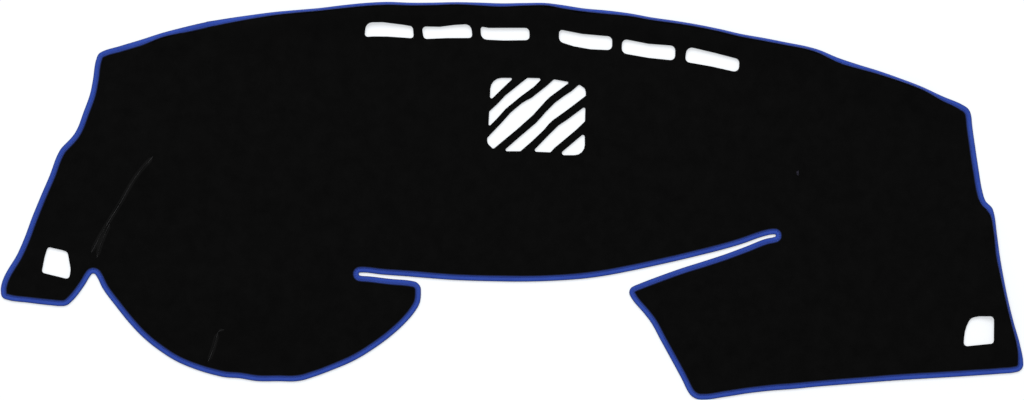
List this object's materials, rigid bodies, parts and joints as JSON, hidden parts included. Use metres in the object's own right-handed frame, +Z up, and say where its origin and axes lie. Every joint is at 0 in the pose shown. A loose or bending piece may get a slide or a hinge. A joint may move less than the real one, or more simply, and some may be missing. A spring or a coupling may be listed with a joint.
{
  "type": "dashboard cover mat",
  "caption": "Flat felt dashboard cover mat with vent slots, a speaker grille of diagonal openings, two fitting holes, slits and a taped edge.",
  "frame": {"origin": "middle of the mat's length and width, on the ground it lies on", "axes": "+X along the mat's length towards its right end, +Y towards the windscreen edge, +Z up out of the pile"},
  "size_m": [1.4311, 0.5569, 0.0142],
  "materials": {
    "black_felt": "matt short-pile felt",
    "blue_tape": "woven tape with a slight sheen"
  },
  "bodies": {
    "root": {"felt_panel": "black_felt", "edge_binding": "blue_tape"}
  },
  "joints": []
}
